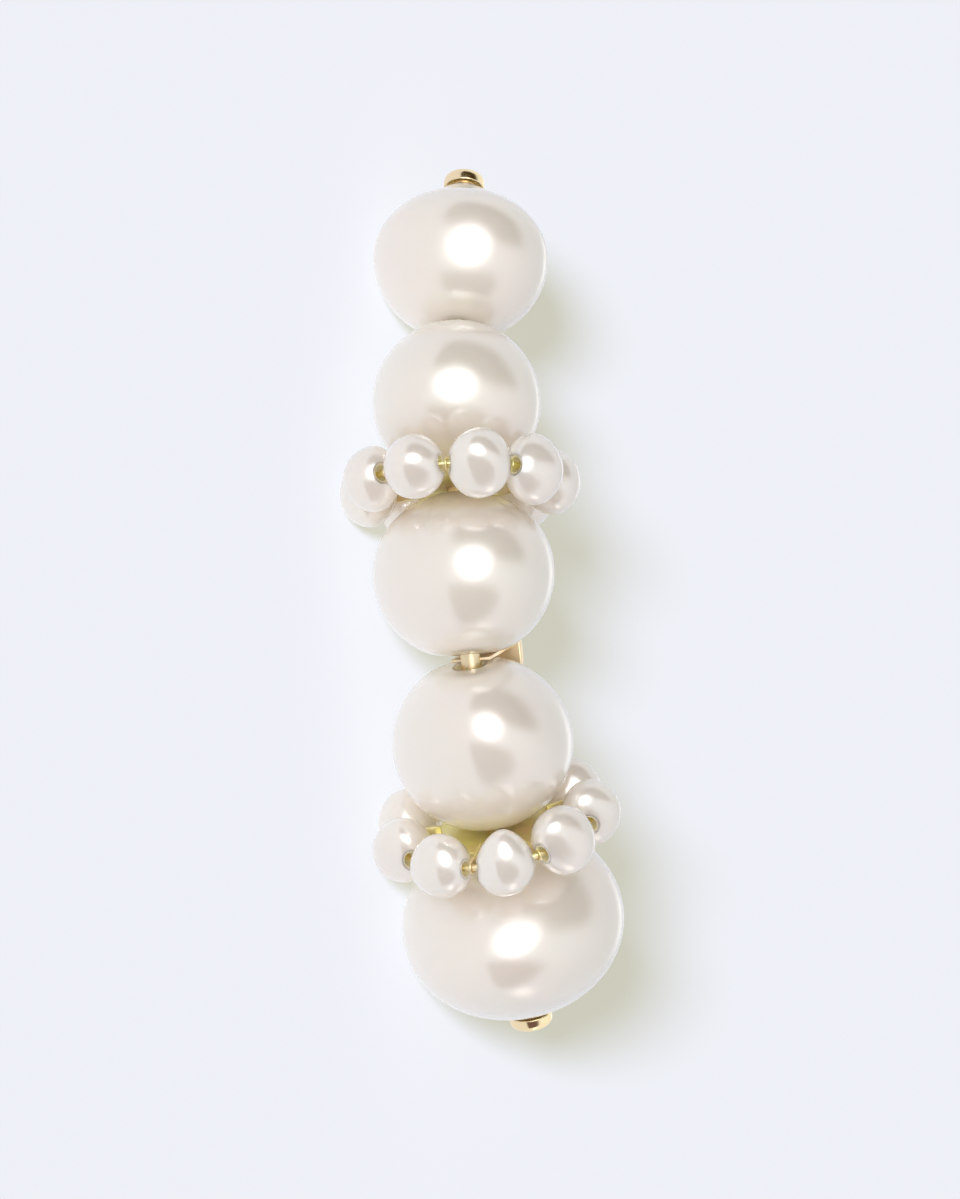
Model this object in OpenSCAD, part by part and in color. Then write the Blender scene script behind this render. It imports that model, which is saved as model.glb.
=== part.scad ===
// Pearl ear climber: five large pearls on a curved gold wire, with two rings of small pearls.
// It lies on its side as it does on a table. X runs along the climber, from the small end
// to the large end, and Y points from the pearls towards the ear.

/* [Large pearls] */
// Width of pearl 1, at the top of the ear
pearl_1_w = 7.06; // [6.6:0.02:7.4]
// Length of pearl 1 along its drilled hole
pearl_1_l = 6.60; // [6.2:0.02:7]
// Width of pearl 2
pearl_2_w = 6.74; // [6.4:0.02:7]
// Length of pearl 2 along its drilled hole
pearl_2_l = 6.40; // [6:0.02:6.8]
// Width of pearl 3
pearl_3_w = 7.32; // [7:0.02:7.6]
// Length of pearl 3 along its drilled hole
pearl_3_l = 6.64; // [6.2:0.02:7]
// Width of pearl 4
pearl_4_w = 7.30; // [7:0.02:7.5]
// Length of pearl 4 along its drilled hole
pearl_4_l = 6.80; // [6.4:0.02:7.2]
// Width of pearl 5, the largest, at the lobe
pearl_5_w = 8.98; // [8.4:0.02:9.4]
// Length of pearl 5 along its drilled hole
pearl_5_l = 8.04; // [7.6:0.02:8.6]
// Width of the hole drilled through each large pearl
pearl_hole_w = 1.20; // [1.16:0.02:1.4]

/* [Gaps along the wire] */
// Between pearls 1 and 2
gap_1_2 = 0.08; // [0.06:0.01:0.3]
// Between pearls 2 and 3, where ring 1 sits
gap_2_3 = 0.55; // [0.5:0.01:0.8]
// Between pearls 3 and 4, where the post's tab comes out
gap_3_4 = 0.34; // [0.32:0.01:0.6]
// Between pearls 4 and 5, where ring 2 sits
gap_4_5 = 0.34; // [0.34:0.01:0.6]

/* [Spine wire] */
// Thickness of the wire that the pearls are strung on
spine_w = 0.80; // [0.7:0.01:0.8]
// Bend radius of the wire's curved middle
spine_r = 22; // [21:0.5:26]
// Angle of the straight upper end to the middle, in degrees
bend_top = 30; // [26:0.5:31]
// Angle of the straight lower end to the middle, in degrees
bend_bottom = 23; // [20:0.5:24]

/* [Rings of small pearls] */
// Small pearls in each ring
ring_count = 9; // [9]
// Width of the circle through the centres of ring 1's pearls
ring_1_w = 7.52; // [7.5:0.02:7.8]
// Width of the circle through the centres of ring 2's pearls
ring_2_w = 7.78; // [7.74:0.02:7.9]
// Turn of ring 1 about the spine, in degrees
ring_1_turn = 27; // [0:1:40]
// Turn of ring 2 about the spine, in degrees
ring_2_turn = 16; // [0:1:40]
// How far ring 2 sits towards the smaller of its two neighbours
ring_2_shift = 0.18; // [0.1:0.01:0.18]
// Small pearl of ring 1: size along the ring wire
ring_1_pearl_w = 2.34; // [2.2:0.01:2.36]
// Small pearl of ring 2: size along the ring wire
ring_2_pearl_w = 2.40; // [2.2:0.01:2.42]
// Small pearls' size outwards, as a share of that along the wire
small_out = 1.01; // [0.98:0.01:1.02]
// Small pearls' size along the spine, as a share of that along the wire
small_tall = 1.145; // [1.1:0.005:1.15]
// Share by which the small pearls differ in size
small_spread = 0.02; // [0:0.005:0.02]
// Width of the hole drilled through each small pearl
small_hole_w = 0.52; // [0.5:0.01:0.6]

/* [Ring mounts] */
// Thickness of the wire through the small pearls
ring_wire_w = 0.25; // [0.2:0.01:0.26]
// Width of the disc that carries a ring on the spine
disc_w = 4.90; // [4.4:0.05:4.9]
// Thickness of ring 1's disc
disc_1_t = 0.30; // [0.2:0.01:0.32]
// Thickness of ring 2's disc
disc_2_t = 0.20; // [0.16:0.01:0.2]
// Thickness of each rib between two small pearls
rib_t = 0.12; // [0.1:0.01:0.13]
// Height of each rib along the spine
rib_h = 0.50; // [0.4:0.01:0.5]
// Gap between the spine and the discs and caps threaded on it
thread_gap = 0.03; // [0.02:0.01:0.05]

/* [End caps] */
// Width of the cap on pearl 1
cap_top_w = 1.64; // [1.4:0.02:1.9]
// Width of the cap on pearl 5
cap_bottom_w = 1.76; // [1.4:0.02:2]
// Height of each cap's straight rim
cap_rim_h = 0.26; // [0.2:0.01:0.3]
// Height of each cap's dome above the rim
cap_dome_h = 0.34; // [0.3:0.01:0.4]
// Gap between a cap and its pearl
cap_gap = 0.03; // [0.02:0.01:0.1]
// Depth that the spine reaches into each cap
cap_grip = 0.30; // [0.2:0.01:0.34]

/* [Tab, plate and ear post] */
// Thickness of the tab between pearls 3 and 4
tab_t = 0.14; // [0.1:0.01:0.16]
// Width of the tab
tab_w = 1.60; // [1:0.05:2]
// Distance from the spine's middle to the plate behind the pearls
plate_back = 3.74; // [3.72:0.01:3.9]
// Thickness of the plate
plate_t = 0.36; // [0.3:0.01:0.5]
// Width of the plate, across the climber
plate_w = 2.50; // [2:0.05:2.6]
// Length of the plate, along the climber
plate_l = 3.40; // [2.6:0.05:3.4]
// Thickness of the ear post
post_w = 0.84; // [0.76:0.02:0.9]
// Length of the ear post, from the plate to its round tip
post_l = 9.60; // [9:0.1:11]
// How far the post stands from the plate's middle, towards pearl 3
post_up = 0.40; // [0:0.05:0.6]
// How far the post stands from the plate's middle, across the climber
post_aside = 0.30; // [0:0.05:0.5]

/* [How it lies] */
// Turn about X until pearl 1 touches the table with the two rings, in degrees
lie_roll = 13.94; // [10:0.01:20]
// Turn about Y of the same, in degrees
lie_pitch = 2.39; // [0:0.01:4]

/* [Hidden] */
$fn = 64;
PEARL_COLOUR = [0.93, 0.89, 0.85];
SMALL_PEARL_COLOUR = [0.90, 0.87, 0.83];
GOLD_COLOUR = [0.85, 0.66, 0.32];

LARGE = [for (i = [1:5]) str("pearl_", i)];
SMALL = [for (r = [1:2]) for (k = [1:ring_count]) str("ring_", r, "_pearl_", k)];

// Columns of the table of large pearls: width, length, gap to the next one
WIDTH = 0;
LENGTH = 1;
GAP = 2;
PEARLS = [
    [pearl_1_w, pearl_1_l, gap_1_2],
    [pearl_2_w, pearl_2_l, gap_2_3],
    [pearl_3_w, pearl_3_l, gap_3_4],
    [pearl_4_w, pearl_4_l, gap_4_5],
    [pearl_5_w, pearl_5_l, 0],
];

// Columns of the table of rings: gap it sits in, circle's width, turn, shift, pearl size, disc thickness
SITS_AFTER = 0;
CIRCLE = 1;
TURN = 2;
SHIFT = 3;
SMALL_W = 4;
DISC_T = 5;
RINGS = [
    [2, ring_1_w, ring_1_turn, 0, ring_1_pearl_w, disc_1_t],
    [4, ring_2_w, ring_2_turn, -ring_2_shift, ring_2_pearl_w, disc_2_t],
];

// The spine: places along it are lengths s, counted from where the wire is level.
// The bend begins at the gap between pearls 1 and 2.
bend_start = -spine_r * bend_top * PI / 180;
bend_end = spine_r * bend_bottom * PI / 180;
function lean(s) = s < bend_start ? -bend_top : s > bend_end ? bend_bottom : s / spine_r * 180 / PI;
function along(s) = [cos(lean(s)), sin(lean(s)), 0];
function backwards(s) = [-sin(lean(s)), cos(lean(s)), 0];
function on_bend(t) = spine_r * [sin(t), 1 - cos(t), 0];
function on_spine(s) = on_bend(lean(s)) + straight_part(s) * along(s);
function straight_part(s) = s < bend_start ? s - bend_start : s > bend_end ? s - bend_end : 0;

// Middle of large pearl i, counted from 1
function pearl_s(i) = i == 1 ? bend_start - (gap_1_2 + pearl_1_l) / 2
    : pearl_s(i - 1) + (PEARLS[i - 2][LENGTH] + PEARLS[i - 1][LENGTH]) / 2 + PEARLS[i - 2][GAP];
// Middle of the gap after large pearl i
function gap_s(i) = pearl_s(i) + (PEARLS[i - 1][LENGTH] + PEARLS[i - 1][GAP]) / 2;
// A straight hole on a curved wire: the pearl moves back by half of the wire's rise inside it
function settle(i) = i == 1 || i == 5 ? 0 : pow(PEARLS[i - 1][LENGTH] / 2, 2) / (4 * spine_r);
function pearl_middle(i) = on_spine(pearl_s(i)) + settle(i) * backwards(pearl_s(i));

// The wire's straight ends, and where the caps start on them
end_w = spine_w - 0.02;
end_overlap = 0.3;
top_end_s = pearl_s(1) - pearl_1_l / 2 - cap_gap;
bottom_end_s = pearl_s(5) + pearl_5_l / 2 + cap_gap;

// Small pearls: their angle round the spine, from the side away from the ear
function ring_s(r) = gap_s(RINGS[r - 1][SITS_AFTER]);
function small_angle(r, k) = RINGS[r - 1][TURN] + 360 / ring_count * (k - 1);
function small_scale(k) = 1 + small_spread * sin(137 * (k - 1));
function small_size(r, k) = RINGS[r - 1][SMALL_W] * small_scale(k) * [small_tall, small_out, 1];
function outwards(r, k) = -cos(small_angle(r, k)) * backwards(ring_s(r)) + [0, 0, sin(small_angle(r, k))];
function small_middle(r, k) = on_spine(ring_s(r)) + RINGS[r - 1][SHIFT] * along(ring_s(r))
    + RINGS[r - 1][CIRCLE] / 2 * outwards(r, k);
// The ring wire runs a little outside the pearls' middles, so that it clears both ends of each hole
function wire_circle_r(r) = RINGS[r - 1][CIRCLE] / 2 + pow(RINGS[r - 1][SMALL_W] / 2, 2) / (2 * RINGS[r - 1][CIRCLE]);

// How far the whole climber reaches in the direction n, from its outermost pieces
function egg_reach(c, n, axes, size) = c * n + norm([for (j = [0:2]) axes[j] * n * size[j] / 2]);
function pearl_reach(i, n) = egg_reach(pearl_middle(i), n,
    [along(pearl_s(i)), backwards(pearl_s(i)), [0, 0, 1]],
    [PEARLS[i - 1][LENGTH], PEARLS[i - 1][WIDTH], PEARLS[i - 1][WIDTH]]);
function small_reach(r, k, n) = egg_reach(small_middle(r, k), n,
    [along(ring_s(r)), outwards(r, k), cross(along(ring_s(r)), outwards(r, k))],
    small_size(r, k));
function cap_reach(s, out, w, n) = egg_reach(on_spine(s) + out * cap_rim_h * along(s), n,
    [along(s), backwards(s), [0, 0, 1]], [2 * cap_dome_h, w, w]);
function tip_middle() = on_spine(gap_s(3)) - post_up * along(gap_s(3)) - [0, 0, post_aside]
    + (plate_back + plate_t + post_l - post_w / 2) * backwards(gap_s(3));
function reach(n) = max(concat(
    [for (i = [1:5]) pearl_reach(i, n)],
    [for (r = [1:2]) for (k = [1:ring_count]) small_reach(r, k, n)],
    [cap_reach(top_end_s, -1, cap_top_w, n), cap_reach(bottom_end_s, 1, cap_bottom_w, n)],
    [tip_middle() * n + post_w / 2]));

// The table's directions, seen from the climber
table_x = [cos(lie_pitch), 0, -sin(lie_pitch)];
table_y = [sin(lie_roll) * sin(lie_pitch), cos(lie_roll), sin(lie_roll) * cos(lie_pitch)];
table_z = [cos(lie_roll) * sin(lie_pitch), -sin(lie_roll), cos(lie_roll) * cos(lie_pitch)];
middle_x = (reach(table_x) - reach(-table_x)) / 2;
middle_y = (reach(table_y) - reach(-table_y)) / 2;
table_below = reach(-table_z);

// Lays the climber on its side, with the middle of its box over the origin
module laid() {
    translate([-middle_x, -middle_y, table_below])
        rotate([-lie_roll, 0, 0])
            rotate([0, -lie_pitch, 0])
                children();
}

// Puts a piece on the spine: its x along the wire, its y towards the ear
module at_spine(s) {
    translate(on_spine(s))
        rotate([0, 0, lean(s)])
            children();
}

// A rod along x from one place to another
module rod(from_x, to_x, w) {
    translate([from_x, 0, 0])
        rotate([0, 90, 0])
            cylinder(d = w, h = to_x - from_x);
}

// Wire with a curved middle and two straight ends.
// The ends are a hair thinner and start inside the middle, so that the three fuse cleanly.
module spine_wire() {
    translate([0, spine_r, 0])
        rotate([0, 0, -90 - bend_top])
            rotate_extrude(angle = bend_top + bend_bottom)
                translate([spine_r, 0])
                    circle(d = spine_w);
    at_spine(bend_start)
        rod(top_end_s - cap_grip - bend_start, end_overlap, end_w);
    at_spine(bend_end)
        rod(-end_overlap, bottom_end_s + cap_grip - bend_end, end_w);
}

// Plate with round ends, seen along the post
module plate() {
    translate([0, plate_back + plate_t, 0])
        rotate([90, 0, 0])
            linear_extrude(plate_t) {
                square([plate_l - plate_w, plate_w], center = true);
                for (side = [-1, 1])
                    translate([side * (plate_l - plate_w) / 2, 0])
                        circle(d = plate_w);
            }
}

// Straight post with a half-round tip, a little off the plate's middle so that the pearls hide it
module post() {
    stem = plate_t / 2 + post_l - post_w / 2;
    translate([-post_up, plate_back + plate_t / 2, -post_aside])
        rotate([-90, 0, 0]) {
            cylinder(d = post_w, h = stem);
            translate([0, 0, stem])
                sphere(d = post_w);
        }
}

// Spine, tab, plate and post, soldered into one
module ear_frame() {
    color(GOLD_COLOUR)
        laid() {
            spine_wire();
            at_spine(gap_s(3)) {
                translate([-tab_t / 2, 0, -tab_w / 2])
                    cube([tab_t, plate_back + plate_t / 2, tab_w]);
                plate();
                post();
            }
        }
}

// Large pearl i: a slightly flattened ball with a straight hole
module large_pearl(i) {
    w = PEARLS[i - 1][WIDTH];
    l = PEARLS[i - 1][LENGTH];
    color(PEARL_COLOUR)
        laid()
            at_spine(pearl_s(i))
                translate([0, settle(i), 0])
                    difference() {
                        scale([l / w, 1, 1])
                            rotate([0, 90, 0])
                                sphere(d = w);
                        rod(-l, l, pearl_hole_w);
                    }
}

// Low gold cap with a blind hole that takes the end of the spine
module end_cap(w) {
    difference() {
        union() {
            rod(0, cap_rim_h, w);
            translate([cap_rim_h, 0, 0])
                intersection() {
                    scale([2 * cap_dome_h / w, 1, 1])
                        rotate([0, 90, 0])
                            sphere(d = w);
                    rod(0, w, 2 * w);
                }
        }
        rod(-1, cap_grip + thread_gap, spine_w + 2 * thread_gap);
    }
}

module end_cap_top() {
    color(GOLD_COLOUR)
        laid()
            at_spine(top_end_s)
                rotate([0, 0, 180])
                    end_cap(cap_top_w);
}

module end_cap_bottom() {
    color(GOLD_COLOUR)
        laid()
            at_spine(bottom_end_s)
                end_cap(cap_bottom_w);
}

// Disc on the spine, ribs between the small pearls, and the wire that they are strung on
module ring_mount(r) {
    shift = RINGS[r - 1][SHIFT];
    disc_t = RINGS[r - 1][DISC_T];
    rib_from = disc_w / 2 - rib_h / 2;
    color(GOLD_COLOUR)
        laid()
            at_spine(ring_s(r)) {
                difference() {
                    rod(-disc_t / 2, disc_t / 2, disc_w);
                    rod(-disc_t, disc_t, spine_w + 2 * thread_gap);
                }
                for (k = [1:ring_count])
                    rotate([-small_angle(r, k + 0.5), 0, 0])
                        translate([shift - rib_h / 2, -wire_circle_r(r), -rib_t / 2])
                            cube([rib_h, wire_circle_r(r) - rib_from, rib_t]);
                translate([shift, 0, 0])
                    rotate([0, 90, 0])
                        rotate_extrude()
                            translate([wire_circle_r(r), 0])
                                circle(d = ring_wire_w);
            }
}

// Small pearl k of ring r: taller along the spine, drilled along the ring wire
module small_pearl(r, k) {
    size = small_size(r, k);
    color(SMALL_PEARL_COLOUR)
        laid()
            at_spine(ring_s(r))
                translate([RINGS[r - 1][SHIFT], 0, 0])
                    rotate([-small_angle(r, k), 0, 0])
                        translate([0, -RINGS[r - 1][CIRCLE] / 2, 0])
                            difference() {
                                scale(size)
                                    sphere(d = 1);
                                cylinder(d = small_hole_w, h = 2 * size[2], center = true);
                            }
}

ear_frame();
for (i = [1:5])
    large_pearl(i);
end_cap_top();
end_cap_bottom();
for (r = [1:2])
    ring_mount(r);
for (r = [1:2])
    for (k = [1:ring_count])
        small_pearl(r, k);
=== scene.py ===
# Pearl ear climber: five large pearls on a curved gold wire, two rings of small pearls, and an ear post.
# Sizes are in millimetres. A shape is made in the climber's own directions, x along the wire towards
# the large end, y towards the ear and z across, and is then laid on the table, which makes it metres.
from math import asin, cos, pi, radians, sin, tan

import bmesh
import bpy
import numpy as np
from mathutils import Matrix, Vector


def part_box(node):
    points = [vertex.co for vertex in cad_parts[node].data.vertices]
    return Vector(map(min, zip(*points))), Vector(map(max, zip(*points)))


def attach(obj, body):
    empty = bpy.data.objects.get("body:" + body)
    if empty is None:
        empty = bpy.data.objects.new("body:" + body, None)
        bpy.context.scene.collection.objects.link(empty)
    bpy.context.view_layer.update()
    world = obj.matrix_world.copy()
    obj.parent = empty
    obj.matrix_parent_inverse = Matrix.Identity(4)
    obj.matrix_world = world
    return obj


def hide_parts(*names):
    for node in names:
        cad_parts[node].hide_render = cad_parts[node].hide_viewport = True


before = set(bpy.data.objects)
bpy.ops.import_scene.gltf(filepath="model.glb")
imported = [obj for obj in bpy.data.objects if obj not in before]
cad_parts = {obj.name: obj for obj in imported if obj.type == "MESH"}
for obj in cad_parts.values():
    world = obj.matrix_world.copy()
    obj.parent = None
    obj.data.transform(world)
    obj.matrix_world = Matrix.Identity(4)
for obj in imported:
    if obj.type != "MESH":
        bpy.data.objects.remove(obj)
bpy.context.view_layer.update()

# How the climber lies. It rests on its side by itself, on pearl 1 and on one small pearl of each ring.
# The wire between the pearls bends evenly in the middle and is straight at both ends, and a place on
# it is its length s from where the wire is level.
MM = 0.001
# The turns about x and about y that bring it down on those three. The one about y comes first.
LIE_ROLL = radians(13.94)
LIE_PITCH = radians(2.39)
SPINE_R = 22
BEND_UP = radians(30)
BEND_DOWN = radians(23)
BEND_START = -SPINE_R * BEND_UP
BEND_END = SPINE_R * BEND_DOWN
PEARL_WIDTHS = [7.06, 6.74, 7.32, 7.30, 8.98]
PEARL_LENGTHS = [6.60, 6.40, 6.64, 6.80, 8.04]
PEARL_GAPS = [0.08, 0.55, 0.34, 0.34]
# The first and the last pearl sit on the straight ends
STRAIGHT = (0, 4)

pearl_s = [BEND_START - (PEARL_GAPS[0] + PEARL_LENGTHS[0]) / 2]
for i, gap in enumerate(PEARL_GAPS):
    pearl_s.append(pearl_s[i] + (PEARL_LENGTHS[i] + PEARL_LENGTHS[i + 1]) / 2 + gap)
gap_s = [s + (length + gap) / 2 for s, length, gap in zip(pearl_s, PEARL_LENGTHS, PEARL_GAPS)]


def wire_directions(s):
    """Unit vectors along the wire, towards the ear and across, as the rows of a matrix, at the length s.
    The wire's angle grows evenly with s inside the bend, and stays the same outside it."""
    lean = np.clip(s, BEND_START, BEND_END) / SPINE_R
    return np.array([[cos(lean), sin(lean), 0], [-sin(lean), cos(lean), 0], [0, 0, 1]])


def on_wire(s):
    """Place on the wire at the length s: a point of the circle, then straight on from its nearest end."""
    bent = np.clip(s, BEND_START, BEND_END)
    lean = bent / SPINE_R
    return SPINE_R * np.array([sin(lean), 1 - cos(lean), 0]) + (s - bent) * wire_directions(s)[0]


def threaded(points, s, back=0):
    """Points of a piece made about its own middle, moved to the wire at s and turned as the wire runs."""
    directions = wire_directions(s)
    return points @ directions + on_wire(s) + back * directions[1]


def turned_about_x(angle):
    """Turning matrix about x, for points as rows."""
    return np.array([[1, 0, 0], [0, cos(angle), sin(angle)], [0, -sin(angle), cos(angle)]])


def turned_about_y(angle):
    """Turning matrix about y, for points as rows."""
    return np.array([[cos(angle), 0, -sin(angle)], [0, 1, 0], [sin(angle), 0, cos(angle)]])


def settled_back(i):
    """How far a pearl with a straight hole moves back on the bent wire: half of the wire's rise in it."""
    return 0 if i in STRAIGHT else (PEARL_LENGTHS[i] / 2) ** 2 / (4 * SPINE_R)


# The frame says where the climber lies: the middle of pearl 3's box is the middle of the pearl
TO_TABLE = turned_about_y(-LIE_PITCH) @ turned_about_x(-LIE_ROLL)
pearl_3_box = np.array(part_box("pearl_3"))
pearl_3_middle = threaded(np.zeros(3), pearl_s[2], settled_back(2))
table_shift = pearl_3_box.mean(axis=0) - pearl_3_middle @ TO_TABLE * MM


def laid(points):
    """Points of the climber, in millimetres, laid on the table, in metres."""
    return points @ TO_TABLE * MM + table_shift


# Ear frame. Round gold wire carries the pearls. A thin tab comes out between pearls 3 and 4 and holds
# an oval plate behind them, and a straight post for the piercing stands on the plate. All of it is
# soldered into one piece and polished.
WIRE_W = 0.80
WIRE_EDGE = 0.02
# The gap between a cap and its pearl and round the wire in the cap, and how far the wire goes in
CAP_GAP = 0.03
CAP_GRIP = 0.30
TAB_T = 0.14
TAB_W = 1.60
TAB_EDGE = 0.03
# The plate starts this far behind the middle of the wire
PLATE_BACK = 3.74
PLATE_T = 0.36
PLATE_W = 2.50
PLATE_L = 3.40
PLATE_EDGE = 0.10
POST_W = 0.84
POST_L = 9.60
# Where the post stands on the plate from its middle, and how deep its foot is in the plate
POST_UP = 0.40
POST_ASIDE = 0.30
POST_SUNK = 0.05
SOLDER = 0.16

FRAME_GOLD = (0.86, 0.70, 0.45, 1)
GOLD_ROSY = (0.94, 0.74, 0.50, 1)
GOLD_BROWN = (0.62, 0.47, 0.22, 1)
# Widths of the gold's rosy patches, of its polishing marks and of its pits, and the depth of the last
# two. The marks lie along x, and MARK_SLIM is their width as a share of their length.
PATCH_W = 1.6
MARK_W = 0.05
MARK_SLIM = 0.15
PIT_W = 0.25
MARK_DEPTH = 0.02
# How much of the rosy and of the brown shows, and how much rougher patches, marks and pits are
ROSY_SHARE = 0.8
BROWN_SHARE = 0.35
PATCH_DULL = 0.05
MARK_DULL = 0.05
PIT_DULL = 0.03


class Shade:
    """A node's output. A sum, difference, product or quotient adds a Math node, and node() any other."""

    def __init__(self, tree, socket=None):
        self.tree = tree
        self.socket = socket

    def node(self, kind, settings=None, inputs=None, output=0):
        made = self.tree.nodes.new(kind)
        for name, value in (settings or {}).items():
            setattr(made, name, value)
        for name, value in (inputs or {}).items():
            if isinstance(value, Shade):
                self.tree.links.new(value.socket, made.inputs[name])
            else:
                made.inputs[name].default_value = value
        return Shade(self.tree, made.outputs[output])

    def feeds(self, shader, name):
        """Links this output to the socket of that name on a finished shader."""
        self.tree.links.new(self.socket, shader.inputs[name])

    def maths(self, operation, first, second):
        return self.node("ShaderNodeMath", {"operation": operation}, {0: first, 1: second})

    def __add__(self, other):
        return self.maths("ADD", self, other)

    def __radd__(self, other):
        return self.maths("ADD", other, self)

    def __sub__(self, other):
        return self.maths("SUBTRACT", self, other)

    def __rsub__(self, other):
        return self.maths("SUBTRACT", other, self)

    def __mul__(self, other):
        return self.maths("MULTIPLY", self, other)

    def __rmul__(self, other):
        return self.maths("MULTIPLY", other, self)

    def __truediv__(self, other):
        return self.maths("DIVIDE", self, other)

    def __rtruediv__(self, other):
        return self.maths("DIVIDE", other, self)

    def at_least(self, low):
        return self.maths("MAXIMUM", self, low)

    def rise(self, low, high):
        """0 below low, 1 above high and a smooth step between them, or the reverse if low is the larger."""
        inputs = {"Value": self, "From Min": low, "From Max": high}
        return self.node("ShaderNodeMapRange", {"interpolation_type": "SMOOTHSTEP"}, inputs)

    def noise(self, places, size, detail=2.0):
        """Smooth noise from 0 to 1, whose lumps are about size millimetres wide."""
        inputs = {"Vector": places, "Scale": 1 / (size * MM), "Detail": detail}
        return self.node("ShaderNodeTexNoise", {}, inputs)

    def blend(self, first, second, factor):
        """The first colour where factor is 0 and the second where it is 1."""
        return self.node("ShaderNodeMix", {"data_type": "RGBA"}, {0: factor, 6: first, 7: second}, 2)


def new_material(name):
    """An empty Principled material: its tree as a Shade, its shader node, and the places on the object."""
    material = bpy.data.materials.new(name)
    material.use_nodes = True
    tree = Shade(material.node_tree)
    places = tree.node("ShaderNodeTexCoord", output="Object")
    return material, tree, material.node_tree.nodes["Principled BSDF"], places


def polished_gold(name, body, dull):
    """Yellow gold with hair-fine polishing marks and small brown pits, rosier and duller in patches."""
    material, tree, shader, places = new_material(name)
    patches = tree.noise(places, PATCH_W).rise(low=0.35, high=0.70)
    shortened = tree.node("ShaderNodeMapping", {}, {"Vector": places, "Scale": (MARK_SLIM, 1.0, 1.0)})
    marks = tree.noise(shortened, MARK_W, detail=3.0)
    pits = tree.noise(places, PIT_W, detail=4.0).rise(low=0.66, high=0.80)
    colour = tree.blend(body, GOLD_ROSY, patches * ROSY_SHARE)
    colour = tree.blend(colour, GOLD_BROWN, pits * BROWN_SHARE)
    roughness = dull + patches * PATCH_DULL + marks * MARK_DULL + pits * PIT_DULL
    relief = {"Strength": 0.10, "Distance": MARK_DEPTH * MM, "Height": marks - pits}
    colour.feeds(shader, "Base Color")
    roughness.feeds(shader, "Roughness")
    tree.node("ShaderNodeBump", {}, relief).feeds(shader, "Normal")
    shader.inputs["Metallic"].default_value = 1.0
    return material


def turned(profile, columns):
    """A profile of (x, radius) points carried round the x axis, as rows x columns points."""
    angle = np.linspace(0, 2 * pi, columns, endpoint=False)
    x, radius = np.array(profile, float).T[:, :, None]
    return np.stack(np.broadcast_arrays(x, radius * np.cos(angle), radius * np.sin(angle)), -1)


def arc(middle, radius, first, last, count):
    """Points of a circle's arc about middle, from the first angle to the last, in degrees."""
    angle = np.radians(np.linspace(first, last, count))
    return np.stack([middle[0] + radius * np.cos(angle), middle[1] + radius * np.sin(angle)], -1)


def slab(outline, thickness, edge, rows=5):
    """A flat plate with rounded edges. Its outline, drawn in y and z about its middle, grows out of the
    middle of one face, goes over the round of the edge and shrinks to the middle of the other face."""
    reach = np.linalg.norm(outline, axis=1, keepdims=True)
    rim = np.concatenate([arc((0, 0), edge, 180, 90, rows), arc((0, 0), edge, 90, 0, rows)])
    rim[:rows, 0] -= thickness / 2 - edge
    rim[rows:, 0] += thickness / 2 - edge
    middles = np.array([[-thickness / 2, -reach.max()], [thickness / 2, -reach.max()]])
    rim = np.concatenate([middles[:1], rim, middles[1:]])
    share = np.clip((reach[None] - edge + rim[:, None, 1:]) / reach[None], 0, 1)
    x = np.broadcast_to(rim[:, None, :1], share.shape)
    return np.concatenate([x, outline[None] * share], -1)


def stadium(length, width, columns):
    """Outline of a plate with half-round ends, longest along y: two half circles of the plate's width,
    with their middles apart by its length less its width."""
    half = columns // 2
    right = arc(((length - width) / 2, 0), width / 2, -90, 90, half)
    left = arc((-(length - width) / 2, 0), width / 2, 90, 270, half)
    return np.concatenate([right, left])


def rectangle(length, width, corner, rows=4):
    """Outline of a rectangle, its length along y, with a small quarter circle for each corner."""
    y, z = length / 2 - corner, width / 2 - corner
    corners = [((y, z), 0), ((-y, z), 90), ((-y, -z), 180), ((y, -z), 270)]
    return np.concatenate([arc(middle, corner, start, start + 90, rows) for middle, start in corners])


def grid_faces(rows, columns, first, rows_close):
    """Quads between neighbours of a rows x columns grid, whose columns close on themselves. Its first
    point has the number first, and rows_close joins the last row to the first one."""
    r, c = np.meshgrid(np.arange(rows if rows_close else rows - 1), np.arange(columns), indexing="ij")
    down, right = (r + 1) % rows, (c + 1) % columns
    corners = [r * columns + c, r * columns + right, down * columns + right, down * columns + c]
    return first + np.stack(corners, -1).reshape(-1, 4)


# Points closer than this are one point
SAME_POINT = 1e-5


def make_piece(name, node, shapes, material, drilled=None):
    """One smooth mesh that stands for a node, from grids of points whose columns close on themselves.
    A grid with its ends on one point each closes there, and any other closes first row to last. For a
    pearl, drilled says how much each point is in the hole."""
    points, faces, first = [], [], 0
    for shape in shapes:
        rows, columns = shape.shape[:2]
        rows_close = np.ptp(shape[0], axis=0).max() > SAME_POINT
        faces.append(grid_faces(rows, columns, first, rows_close))
        points.append(laid(shape.reshape(-1, 3)))
        first += rows * columns
    mesh = bpy.data.meshes.new(name)
    mesh.from_pydata(np.concatenate(points).tolist(), [], np.concatenate(faces).tolist())
    if drilled is not None:
        mesh.attributes.new("drilled", "FLOAT", "POINT").data.foreach_set("value", drilled.ravel())
    cleaned = bmesh.new()
    cleaned.from_mesh(mesh)
    bmesh.ops.remove_doubles(cleaned, verts=cleaned.verts, dist=SAME_POINT * MM)
    bmesh.ops.recalc_face_normals(cleaned, faces=cleaned.faces)
    cleaned.to_mesh(mesh)
    cleaned.free()
    mesh.shade_smooth()
    mesh.materials.append(material)
    piece = bpy.data.objects.new(name, mesh)
    bpy.context.scene.collection.objects.link(piece)
    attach(piece, "root")
    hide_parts(node)


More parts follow.
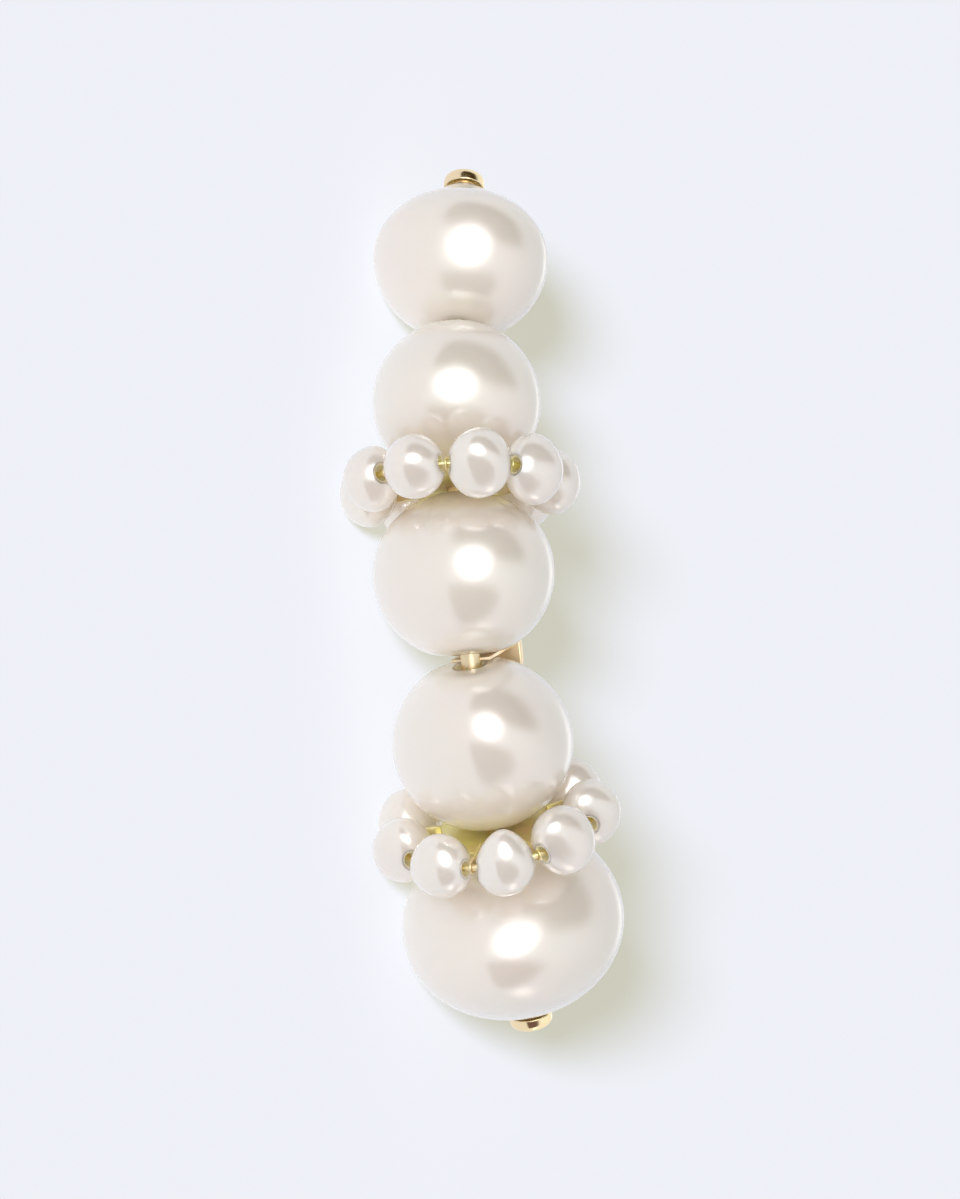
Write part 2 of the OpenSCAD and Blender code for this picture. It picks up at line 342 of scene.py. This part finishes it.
def spine_wire(first_s, last_s, rows=120, columns=32):
    """Round wire: circles square to the route, the outermost ones a little smaller, and flat ends."""
    route = np.concatenate([[first_s], np.linspace(first_s, last_s, rows), [last_s]])
    radius = np.full(len(route), WIRE_W / 2)
    radius[[0, -1]] = 0
    radius[[1, -2]] -= WIRE_EDGE
    circles = turned(np.stack([0 * radius, radius], -1), columns)
    return np.stack([threaded(circle, s) for circle, s in zip(circles, route)])


def ear_post(columns=48):
    """Straight post with a half-round tip, which widens into a small fillet of solder at the plate: a
    profile of a quarter circle, a line and a quarter circle, carried round the post."""
    r = POST_W / 2
    foot = PLATE_BACK + PLATE_T
    tip = foot + POST_L - r
    fillet = arc((foot + SOLDER, r + SOLDER), SOLDER, 180, 270, 8)
    stem_y = np.linspace(foot + SOLDER, tip, 12)
    stem = np.stack([stem_y, np.full_like(stem_y, r)], -1)
    start = [[foot - POST_SUNK, 0], [foot - POST_SUNK, r + SOLDER]]
    profile = np.concatenate([start, fillet, stem, arc((tip, 0), r, 85, 0, 14)])
    return turned(profile, columns)[..., [1, 0, 2]] - [POST_UP, 0, POST_ASIDE]


def back_plate():
    """Oval plate, flat towards the pearls and towards the ear: a slab with a stadium as its outline."""
    faces = slab(stadium(PLATE_L, PLATE_W, columns=96), PLATE_T, PLATE_EDGE, rows=6)
    return faces[..., [1, 0, 2]] + [0, PLATE_BACK + PLATE_T / 2, 0]


def tab():
    """Thin strip from the wire to the plate: a slab with a rectangle as its outline."""
    length = PLATE_BACK + PLATE_T / 2
    faces = slab(rectangle(length, TAB_W, TAB_EDGE), TAB_T, TAB_EDGE)
    return faces + [0, length / 2, 0]


frame_gold = polished_gold("frame_gold", FRAME_GOLD, dull=0.30)
wire_ends = [pearl_s[0] - PEARL_LENGTHS[0] / 2 - CAP_GAP, pearl_s[4] + PEARL_LENGTHS[4] / 2 + CAP_GAP]
wire = spine_wire(wire_ends[0] - CAP_GRIP, wire_ends[1] + CAP_GRIP)
behind = [threaded(part, gap_s[2]) for part in (tab(), back_plate(), ear_post())]
make_piece("gold_ear_frame", "ear_frame", [wire] + behind, frame_gold)


# Large pearls. Five cultured river pearls, nearly round, a little shorter along the hole than across.
# Each is drilled straight through and threaded on the wire. Their nacre is cream, with a soft deep
# gloss, faint pink and green tones and very shallow lumps.
PEARL_HOLE_W = 1.20
# A row for each pearl: how much its front leans up towards pearl 1 and across, and how much flatter its
# foremost place is, as shares of the half width, the depth of the lumps and their seed, the end that is
# flatter (-1 towards pearl 1, 1 away from it) and by what share. A negative share is fuller, not flatter.
CROWN_UP = 0
CROWN_ACROSS = 1
CROWN_FLAT = 2
LUMPS = 3
SEED = 4
FLAT_END = 5
FLAT_SHARE = 6
PEARL_FORMS = [
    [-0.05, -0.04, 0.04, 0.020, 11, -1, 0.20],
    [0.08, -0.12, 0.00, 0.020, 12, -1, -0.05],
    [0.00, 0.06, 0.00, 0.020, 13, 1, -0.05],
    [0.22, 0.16, -0.08, 0.025, 14, -1, -0.06],
    [-0.26, -0.02, -0.07, 0.030, 15, 1, 0.06],
]
# Front, up and across of the climber as it is worn, as rows
WORN = np.array([[0, -1, 0], [-1, 0, 0], [0, 0, 1]])
# Half width of the low rise that a flatter end keeps round the hole, under the cap
RISE_R = 1.30

NACRE = (0.87, 0.81, 0.72, 1)
NACRE_PINK = (0.88, 0.77, 0.71, 1)
NACRE_GREEN = (0.86, 0.81, 0.68, 1)
# Painted light in the drilled hole: a pale yellow for the gold the hole mirrors, lifting its shade
NACRE_HOLE_PAINTED_LIGHT = (0.86, 0.79, 0.52, 1)
# Widths of the pink and of the green areas, and how much of each colour shows
PINK_W = 3.2
GREEN_W = 5.0
PINK_SHARE = 0.8
GREEN_SHARE = 0.35
# How much rougher the nacre is on top of its waves and in the hole
WAVE_DULL = 0.08
HOLE_DULL = 0.3


def nacre(name, body, shift, wave, wave_depth, dull, coat_dull, coat_ior):
    """Nacre: cream that turns faintly pink or green over the pearl, under a soft gloss. One coat with a
    high IOR stands in for the gloss of nacre's many layers. Under it the shine is broken by shallow
    orange-peel waves. The drilled hole is duller, and painted a light yellow that stands for the gold it
    mirrors and lifts the shade in the hole. The pink and green areas are moved along x by the shift."""
    material, tree, shader, places = new_material(name)
    moved = tree.node("ShaderNodeMapping", {}, {"Vector": places, "Location": (shift * MM, 0, 0)})
    pink = tree.noise(moved, PINK_W).rise(low=0.20, high=0.85)
    green = tree.noise(moved, GREEN_W).rise(low=0.20, high=0.90)
    waves = tree.noise(places, wave, detail=1.0)
    hole = tree.node("ShaderNodeAttribute", {"attribute_name": "drilled"}, output="Fac")
    colour = tree.blend(body, NACRE_PINK, pink * PINK_SHARE)
    colour = tree.blend(colour, NACRE_GREEN, green * GREEN_SHARE)
    # Painted light: the hole's pale yellow stands for mirrored gold and lifts the shade inside the hole
    colour = tree.blend(colour, NACRE_HOLE_PAINTED_LIGHT, hole)
    roughness = dull + waves * WAVE_DULL + hole * HOLE_DULL
    relief = {"Strength": 0.8, "Distance": wave_depth * MM, "Height": waves}
    colour.feeds(shader, "Base Color")
    roughness.feeds(shader, "Roughness")
    tree.node("ShaderNodeBump", {}, relief).feeds(shader, "Normal")
    shader.inputs["IOR"].default_value = 1.60
    shader.inputs["Coat Weight"].default_value = 1.0
    shader.inputs["Coat Roughness"].default_value = coat_dull
    shader.inputs["Coat IOR"].default_value = coat_ior
    shader.inputs["Subsurface Weight"].default_value = 0.50
    shader.inputs["Subsurface Radius"].default_value = (1.0, 0.85, 0.7)
    shader.inputs["Subsurface Scale"].default_value = 1.2 * MM
    return material


# Speeds and heights of the three waves that make a pearl's lumps
LUMP_WAVES = [(1.8, 0.5), (2.9, 0.3), (4.1, 0.2)]


def lumps(directions, seed):
    """Low swellings from -1 to 1: a sum of three slow waves across the pearl, each the cosine of its
    speed times the place along a direction of its own, the faster ones lower."""
    pick = np.random.default_rng(seed)
    total = 0
    for speed, height in LUMP_WAVES:
        heading = pick.normal(size=3)
        heading /= np.linalg.norm(heading)
        total = total + height * np.cos(speed * (directions @ heading) + pick.uniform(0, 2 * pi))
    return total


def drilled_profile(width, length, hole_w, rows, edge=0.03, over_rows=5, wall_rows=9):
    """Closed profile of a drilled ball: the outer arc from hole to hole, a small round over the hole's
    edge, the wall of the hole, and the other edge. Also says how much each point is in the hole."""
    start = asin((hole_w / 2 + edge) / (width / 2))
    angle = np.linspace(start, pi - start, rows)
    outer = np.stack([-length / 2 * np.cos(angle), width / 2 * np.sin(angle)], -1)
    end_x = outer[-1, 0]
    over = arc((end_x - edge, hole_w / 2 + edge), edge, 45, -90, over_rows)
    wall_x = np.linspace(end_x - 2 * edge, 2 * edge - end_x, wall_rows)
    wall = np.stack([wall_x, np.full(wall_rows, hole_w / 2)], -1)
    back = over[::-1] * [-1, 1]
    deeper = np.linspace(0, 1, over_rows)
    inside = np.concatenate([np.zeros(rows), deeper, np.ones(wall_rows), deeper[::-1]])
    return np.concatenate([outer, over, wall, back]), inside


def crowned(points, half_width, worn, up, across, flat=0):
    """Moves the foremost place of a ball up and across, makes it flatter, and leaves the ball's outline
    as it is. A place that is a, u and c half widths ahead, up and across of the ball's middle goes
    forward by a (up u + across c - flat a^3) half widths, and a place behind the middle stays."""
    ahead, uphill, aside = np.moveaxis(points @ worn.T / half_width, -1, 0)
    ahead = np.clip(ahead, 0, 1)
    forward = ahead * (up * uphill + across * aside - flat * ahead ** 3)
    return points + half_width * forward[..., None] * worn[0]


def flat_ended(points, side, share):
    """Shortens the half of a pearl at one end by a share, or lengthens it by a negative one. At a distance
    from the hole's middle line, only 1 - exp(-(distance / RISE_R)^4) of the share is left."""
    at_end = points[..., 0] * side > 0
    rise = np.exp(-(np.hypot(points[..., 1], points[..., 2]) / RISE_R) ** 4)
    points[..., 0] *= np.where(at_end, 1 - share * (1 - rise), 1)
    return points


def large_pearl(i, rows=96, columns=128):
    """A drilled ball carried round its hole, with lumps outside the hole, one end flatter or fuller and
    its crown moved."""
    width, length = PEARL_WIDTHS[i], PEARL_LENGTHS[i]
    form = PEARL_FORMS[i]
    profile, inside = drilled_profile(width, length, PEARL_HOLE_W, rows)
    points = turned(profile, columns)
    directions = points / [length / 2, width / 2, width / 2]
    swelling = form[LUMPS] * lumps(directions, form[SEED]) * (1 - inside[:, None])
    points = points * (1 + swelling / (width / 2))[..., None]
    points = flat_ended(points, form[FLAT_END], form[FLAT_SHARE])
    worn = WORN @ wire_directions(pearl_s[i]).T
    points = crowned(points, width / 2, worn, form[CROWN_UP], form[CROWN_ACROSS], form[CROWN_FLAT])
    return threaded(points, pearl_s[i], settled_back(i)), np.repeat(inside[:, None], columns, 1)


pearl_nacre = nacre("pearl_nacre", NACRE, shift=0, wave=1.5, wave_depth=0.035,
                    dull=0.18, coat_dull=0.21, coat_ior=2.45)
for i in range(len(PEARL_WIDTHS)):
    shape, inside = large_pearl(i)
    make_piece(f"large_pearl_{i + 1}", f"pearl_{i + 1}", [shape], pearl_nacre, inside)


# End caps. Low gold caps close both ends of the wire, which is soldered into them. Each has a short
# straight rim and a flat dome, and is turned from bar and polished.
CAP_W = [1.64, 1.76]
CAP_RIM = 0.26
CAP_DOME = 0.34
CAP_EDGE = 0.04
CAP_CHAMFER = 0.02
CAP_GOLD = (1.0, 0.83, 0.49, 1)


def end_cap(width, columns=64):
    """Cap carried round x: a flat underside with the blind hole, a straight rim, and a dome. The height
    of the dome is one less the sixth power of the way out, to the power 0.6, so its shoulder is tight."""
    r = width / 2
    hole = WIRE_W / 2 + CAP_GAP
    out = np.sin(np.linspace(pi / 2, 0, 24))
    dome = np.stack([CAP_RIM + CAP_DOME * (1 - out ** 6) ** 0.6, r * out], -1)
    deep = CAP_GRIP + CAP_GAP
    blind = [[deep, 0], [deep, hole], [CAP_CHAMFER, hole], [0, hole + CAP_CHAMFER]]
    under = arc((CAP_EDGE, r - CAP_EDGE), CAP_EDGE, 180, 90, 5)
    return turned(np.concatenate([blind, under, dome]), columns)


cap_gold = polished_gold("cap_gold", CAP_GOLD, dull=0.13)
top_cap = end_cap(CAP_W[0]) * [-1, 1, 1]
make_piece("cap_top", "end_cap_top", [threaded(top_cap, wire_ends[0])], cap_gold)
bottom_cap = end_cap(CAP_W[1])
make_piece("cap_bottom", "end_cap_bottom", [threaded(bottom_cap, wire_ends[1])], cap_gold)


# Ring mounts. A thin gold disc threaded between two large pearls carries nine ribs, and each rib ends
# in an eye round the wire that the small pearls are strung on. Disc, ribs and wire are soldered.
RING_COUNT = 9
# For each ring: the disc's place on the wire, how far the pearls are moved along from it, the ring's
# width through the pearls' middles, the turn of the first pearl in degrees, and the pearls' width
RING_S = [gap_s[1], gap_s[3]]
RING_SHIFT = [0, -0.18]
RING_W = [7.52, 7.78]
RING_TURN = [27, 16]
SMALL_W = [2.34, 2.40]
RING_WIRE_W = 0.25
DISC_W = 4.90
DISC_T = [0.30, 0.20]
DISC_EDGE = 0.04
THREAD_GAP = 0.03
RIB_T = 0.12
RIB_H = 0.50
RIB_CORNER = 0.03
RIB_EDGE = 0.025
EYE_W = 0.12
# Painted light: the mounts' gold is paler and greener than the frame's, to lighten them in the shaded gaps
MOUNT_GOLD_PAINTED_LIGHT = (0.98, 0.92, 0.47, 1)


def ring_angle(r, k):
    """Angle round the wire of place k of ring r, from the side away from the ear."""
    return radians(RING_TURN[r] + 360 / RING_COUNT * k)


def in_ring(points, r, k, out=0):
    """Points of a piece made about its own middle, with y outwards and z along the ring wire, moved
    out from the middle of ring r and turned to place k."""
    outwards = points * [1, -1, 1] - [0, out, 0]
    return threaded(outwards @ turned_about_x(-ring_angle(r, k)) + [RING_SHIFT[r], 0, 0], RING_S[r])


def washer(inner, outer, thickness, edge, columns):
    """Disc with a hole, as a closed profile with rounded corners carried round x."""
    x, low, high = thickness / 2 - edge, inner + edge, outer - edge
    corners = [((x, high), 0), ((-x, high), 90), ((-x, low), 180), ((x, low), 270)]
    profile = [arc(middle, edge, start, start + 90, 4) for middle, start in corners]
    return turned(np.concatenate(profile), columns)


def hoop(radius, wire_w, rows, columns):
    """Round wire bent to a circle about x: a small circle at that radius, carried round x."""
    return turned(arc((0, radius), wire_w / 2, 0, 360 * (1 - 1 / rows), rows), columns)


def rib(length):
    """Upright strip, its length outwards: a slab with a rectangle as its outline."""
    faces = slab(rectangle(length, RIB_H, RIB_CORNER), RIB_T, RIB_EDGE)
    return faces[..., [2, 1, 0]]


# The mounts' colour is painted lighter, for the shade under the small pearls
mount_gold = polished_gold("mount_gold", MOUNT_GOLD_PAINTED_LIGHT, dull=0.38)
for r in range(len(RING_W)):
    # The ring wire is bent and the holes are straight, so it is out by half of its rise in a pearl
    wire_r = RING_W[r] / 2 + (SMALL_W[r] / 2) ** 2 / (2 * RING_W[r])
    rib_from = (DISC_W - RIB_H) / 2
    disc = washer(WIRE_W / 2 + THREAD_GAP, DISC_W / 2, DISC_T[r], DISC_EDGE, columns=96)
    parts = [threaded(disc, RING_S[r])]
    ring_wire = hoop(wire_r, RING_WIRE_W, rows=20, columns=180)
    parts.append(threaded(ring_wire + [RING_SHIFT[r], 0, 0], RING_S[r]))
    for k in range(RING_COUNT):
        parts.append(in_ring(rib(wire_r - rib_from), r, k + 0.5, (wire_r + rib_from) / 2))
        eye = hoop((RING_WIRE_W + EYE_W) / 2, EYE_W, rows=10, columns=28)[..., [1, 2, 0]]
        parts.append(in_ring(eye, r, k + 0.5, wire_r))
    make_piece(f"gold_ring_{r + 1}", f"ring_{r + 1}_mount", parts, mount_gold)


# Small pearls. Nine in each ring, drilled along the ring wire. They are seed pearls with more form
# than the large ones: taller along the climber than wide, some narrow at one end like an egg, each
# with its own lumps. Their nacre is a little greyer and pinker.
SMALL_HOLE_W = 0.52
# The pearls' height along the climber and depth out from the wire, against SMALL_W
SMALL_TALL = 1.145
SMALL_OUT = 1.01
# The pearls are larger by this share times the sine of this angle times their place in the ring
SMALL_SPREAD = 0.02
SPREAD_TURN = radians(137)
# Depth of the lumps and rounding of the hole's edges, as shares of the width
SMALL_LUMPS = 0.030
SMALL_EDGE = 0.035
# By ring and place: width and height against the others', by about what share it narrows towards pearl
# 1, or away from it if negative, and how much its front leans up and across, as the large ones' do
SMALL_FORMS = {
    (0, 0): [1.10, 1.03, 0.00, 0.40, -0.08],
    (0, 1): [1.07, 1.02, 0.05, 0.17, -0.33],
    (0, 8): [1.07, 0.96, 0.05, 0.34, -0.20],
    (0, 7): [1.05, 1.00, 0.04, 0.15, -0.08],
    (1, 0): [1.04, 1.04, 0.22, 0.20, -0.08],
    (1, 8): [1.08, 0.96, 0.08, 0.12, 0.00],
    (1, 1): [1.10, 1.01, 0.00, 0.30, -0.30],
    (1, 7): [1.06, 1.00, 0.05, 0.27, 0.10],
    (1, 2): [1.05, 1.00, 0.02, 0.25, -0.30],
}
# The others have a narrowing and a lean drawn from between these
NARROWING_DRAWN = (-0.08, 0.10)
LEAN_DRAWN = (-0.1, 0.1)
# The narrowing starts at this share of the half height before the middle
NARROWING_START = 0.4
SMALL_NACRE = (0.87, 0.80, 0.73, 1)


def small_pearl(r, k, rows=48, columns=64):
    """A drilled egg: a ball of width 1 carried round its hole, with lumps on it, narrowed towards one end
    by the square of the way there, stretched to its size, and with its foremost place moved."""
    pick = np.random.default_rng(100 * r + k)
    drawn = [1, 1, pick.uniform(*NARROWING_DRAWN), pick.uniform(*LEAN_DRAWN), pick.uniform(*LEAN_DRAWN)]
    wide, tall, narrowing, up, across = SMALL_FORMS.get((r, k), drawn)
    size = SMALL_W[r] * (1 + SMALL_SPREAD * sin(SPREAD_TURN * k))
    profile, inside = drilled_profile(1, 1, SMALL_HOLE_W / size, rows, SMALL_EDGE)
    points = turned(profile, columns)[..., [1, 2, 0]]
    swelling = SMALL_LUMPS * lumps(points * 2, 31 * r + k) * (1 - inside[:, None])
    points = points * (1 + swelling * 2)[..., None]
    whole_way = 1 + NARROWING_START
    way = np.clip(-np.sign(narrowing) * points[..., 0] * 2 + NARROWING_START, 0, whole_way)
    squeeze = 1 - abs(narrowing) * way ** 2 / whole_way
    points = points * np.stack([1 + 0 * squeeze, squeeze, squeeze], -1)
    points = points * [size * tall * SMALL_TALL, size * SMALL_OUT, size * wide]
    worn = WORN @ wire_directions(RING_S[r]).T @ turned_about_x(ring_angle(r, k)) * [1, -1, 1]
    points = crowned(points, size / 2, worn, up, across)
    return in_ring(points, r, k, RING_W[r] / 2), np.repeat(inside[:, None], columns, 1)


small_nacre = nacre("small_nacre", SMALL_NACRE, shift=7, wave=0.8, wave_depth=0.09,
                    dull=0.18, coat_dull=0.13, coat_ior=2.45)
for r in range(len(RING_W)):
    for k in range(RING_COUNT):
        shape, inside = small_pearl(r, k)
        node = f"ring_{r + 1}_pearl_{k + 1}"
        make_piece(f"small_pearl_{r + 1}_{k + 1}", node, [shape], small_nacre, inside)


# Camera. It looks at the front of the climber with a long lens, a little from the side and turned so
# that the climber stands upright in the picture, leaning slightly.
SIDE_TURN = radians(13)
PICTURE_LEAN = radians(5)
LENS = 300
SENSOR = 36
PICTURE_H = 1199
PIXELS_PER_MM = 25
# Middle of the picture from where the wire is level: to the right and up
MIDDLE_RIGHT = 0.6
MIDDLE_UP = 0.15

right = np.array([sin(PICTURE_LEAN), sin(SIDE_TURN) * cos(PICTURE_LEAN), cos(SIDE_TURN) * cos(PICTURE_LEAN)])
toward = np.array([0, -cos(SIDE_TURN), sin(SIDE_TURN)])
up = np.cross(toward, right)
right, up, toward = np.array([right, up, toward]) @ TO_TABLE
aim = laid(np.zeros(3)) + (MIDDLE_RIGHT * right + MIDDLE_UP * up) * MM
distance = PICTURE_H / PIXELS_PER_MM * MM * LENS / SENSOR
camera = bpy.data.objects.new("camera", bpy.data.cameras.new("camera"))
camera.data.lens = LENS
camera.data.sensor_width = SENSOR
camera.data.clip_end = 100
turn = np.eye(4)
turn[:3, :3] = np.array([right, up, toward]).T
turn[:3, 3] = aim + toward * distance
camera.matrix_world = Matrix(turn.tolist())
bpy.context.scene.collection.objects.link(camera)
bpy.context.scene.camera = camera


# Table. A wide board covered in pale blue-white felt, lit from below. The nap of the felt leans
# towards the table's -y, so that it takes light as a board that is turned that way does.
TABLE_HALF = 3000
TABLE_COLOUR = (0.22, 0.235, 0.26, 1)
TABLE_SPECKLE = (0.215, 0.23, 0.255, 1)
TABLE_GLOW = (0.589, 0.581, 0.481, 1)
SPECKLE_W = 0.8
NAP_LEAN = radians(45)

table_mesh = bpy.data.meshes.new("table")
corners = TABLE_HALF * MM * np.array([[-1, -1, 0], [1, -1, 0], [1, 1, 0], [-1, 1, 0]])
table_mesh.from_pydata(corners.tolist(), [], [(0, 1, 2, 3)])
table = bpy.data.objects.new("table", table_mesh)
bpy.context.scene.collection.objects.link(table)
table_material, tree, shader, places = new_material("table_board")
colour = tree.blend(TABLE_COLOUR, TABLE_SPECKLE, tree.noise(places, SPECKLE_W))
nap = tree.node("ShaderNodeCombineXYZ", {}, {"Y": -sin(NAP_LEAN), "Z": cos(NAP_LEAN)})
colour.feeds(shader, "Base Color")
nap.feeds(shader, "Normal")
shader.inputs["Roughness"].default_value = 0.9
shader.inputs["Specular IOR Level"].default_value = 0.0
shader.inputs["Emission Color"].default_value = TABLE_GLOW
shader.inputs["Emission Strength"].default_value = 1.0
table_mesh.materials.append(table_material)


# Light. A low lamp lights the table alone and casts the climber's shadow, a very wide one lights the
# climber alone, without shadows, and a dim sky fills all. Pearls and gold mirror a pale studio: a window
# in front, a curtain above it to the right, the dark camera and a low light below, a soft box behind.
SHADOW_LAMP = {"azimuth": 9, "height": 21.5, "size": 9, "strength": 5.4, "colour": (0.86, 0.89, 1.23)}
EVEN_LAMP = {"azimuth": 5, "height": 38, "size": 150, "strength": 2.45, "colour": (1.0, 0.98, 0.96)}


def far_lamp(name, azimuth, height, size, strength, colour, table_state, shadows=True):
    """Lamp as far as the sun: its azimuth from the table's -y towards -x, its height above the table
    and its apparent size in degrees. It lights the table alone (INCLUDE) or all but it (EXCLUDE)."""
    lamp = bpy.data.objects.new(name, bpy.data.lights.new(name, "SUN"))
    lamp.data.energy = strength
    lamp.data.color = colour
    lamp.data.angle = radians(size)
    lamp.data.use_shadow = shadows
    lamp.rotation_euler = (pi / 2 - radians(height), 0, -radians(azimuth))
    lamp.visible_glossy = False
    bpy.context.scene.collection.objects.link(lamp)
    lamp.light_linking.receiver_collection = bpy.data.collections.new(name + "_lights")
    lamp.light_linking.receiver_collection.objects.link(table)
    listed = lamp.light_linking.receiver_collection.collection_objects[0]
    listed.light_linking.link_state = table_state


far_lamp("shadow_lamp", table_state="INCLUDE", **SHADOW_LAMP)
far_lamp("even_lamp", table_state="EXCLUDE", shadows=False, **EVEN_LAMP)


def mirrored(across, upward):
    """Direction that a ball mirrors at that share of its half width right of and above its middle."""
    out = np.array([across, upward, (1 - across ** 2 - upward ** 2) ** 0.5])
    return (2 * out[2] * out - [0, 0, 1]) @ np.array([right, up, toward])


world = bpy.data.worlds.new("studio")
bpy.context.scene.world = world
world.use_nodes = True
tree = Shade(world.node_tree)
looking = tree.node("ShaderNodeTexCoord", output="Object")


def facing(direction):
    """Cosine of the angle between the way that is looked and a direction."""
    inputs = {0: looking, 1: direction}
    return tree.node("ShaderNodeVectorMath", {"operation": "DOT_PRODUCT"}, inputs, "Value")


def oval(direction, halves, soft=0.3):
    """1 inside an oval of sky and 0 outside, its axes along the picture's. The edge is where the squares
    of both shares of the half width and height, in degrees, add up to 1, and is soft by a share."""
    side = np.cross(up, direction)
    side /= np.linalg.norm(side)
    ahead = facing(direction).at_least(0.01)
    share = 0
    for axis, half in zip((side, np.cross(direction, side)), halves):
        off = facing(axis) / ahead / tan(radians(half))
        share = off * off + share
    return share.rise((1 + soft) ** 2, (1 - soft) ** 2)


# Colours of the dim sky, of the sky that the camera would see, and of the mirrored studio
SKY_LOW = (0.042, 0.045, 0.048, 1)
SKY_TOP = (0.12, 0.13, 0.144, 1)
SKY_SEEN = (0.85, 0.88, 0.93, 1)
ROOM = (0.99, 1.05, 1.11, 1)
ROOM_ABOVE = (0.88, 0.92, 0.94, 1)
ROOM_BELOW = (0.99, 0.97, 1.04, 1)
ROOM_BEHIND = (0.96, 0.97, 0.98, 1)
CURTAIN = (0.06, 0.04, 0.01, 1)
CAMERA_DARK = (0.16, 0.10, 0.10, 1)
WINDOW = (3.8, 3.8, 3.8, 1)
SOFT_BOX = (1.7, 1.7, 1.7, 1)
LOW_LIGHT = (2.1, 2.0, 1.9, 1)
# Where each is, along the picture's directions or by the place on a ball that mirrors it
UPPER_SIDE = 0.8 * up + 0.6 * right
CURTAIN_SIDE = 0.92 * up + 0.38 * right
SOFT_BOX_PLACE = 0.35 * right - 0.94 * toward
WINDOW_PLACE = mirrored(0.08, 0.13)
CAMERA_PLACE = mirrored(-0.08, -0.40)
LOW_LIGHT_PLACE = mirrored(0.20, -0.68)
# Half widths and half heights, and how far from the middle of the window the curtain starts, is dark
# all over, starts to end and ends, all in degrees
WINDOW_HALVES = (23, 23)
CAMERA_HALVES = (48, 29)
LOW_LIGHT_HALVES = (9, 7)
SOFT_BOX_HALVES = (15, 15)
CURTAIN_REACH = (25, 38, 66, 86)

fill = tree.blend(SKY_LOW, SKY_TOP, facing((0, 0, 1)).rise(low=-0.1, high=1.0))
room = tree.blend(ROOM, ROOM_ABOVE, facing(UPPER_SIDE).rise(low=0.3, high=0.9))
room = tree.blend(room, ROOM_BELOW, facing(-up).rise(low=0.1, high=0.7))
room = tree.blend(room, ROOM_BEHIND, facing(toward).rise(low=-0.1, high=-0.7))
room = tree.blend(room, SOFT_BOX, oval(SOFT_BOX_PLACE, SOFT_BOX_HALVES))
from_window = facing(WINDOW_PLACE)
starts, dark, fades, ends = [cos(radians(angle)) for angle in CURTAIN_REACH]
curtain = from_window.rise(starts, dark) * from_window.rise(ends, fades)
curtain = curtain * facing(CURTAIN_SIDE).rise(low=0.42, high=0.68)
room = tree.blend(room, CURTAIN, curtain)
room = tree.blend(room, CAMERA_DARK, oval(CAMERA_PLACE, CAMERA_HALVES, soft=0.4))
room = tree.blend(room, LOW_LIGHT, oval(LOW_LIGHT_PLACE, LOW_LIGHT_HALVES, soft=0.5))
room = tree.blend(room, WINDOW, oval(WINDOW_PLACE, WINDOW_HALVES, soft=0.4))
sky = tree.blend(fill, room, tree.node("ShaderNodeLightPath", output="Is Glossy Ray"))
sky = tree.blend(sky, SKY_SEEN, tree.node("ShaderNodeLightPath", output="Is Camera Ray"))
background = world.node_tree.nodes["Background"]
sky.feeds(background, "Color")
background.inputs["Strength"].default_value = 1.0

bpy.context.scene.view_settings.view_transform = "Standard"
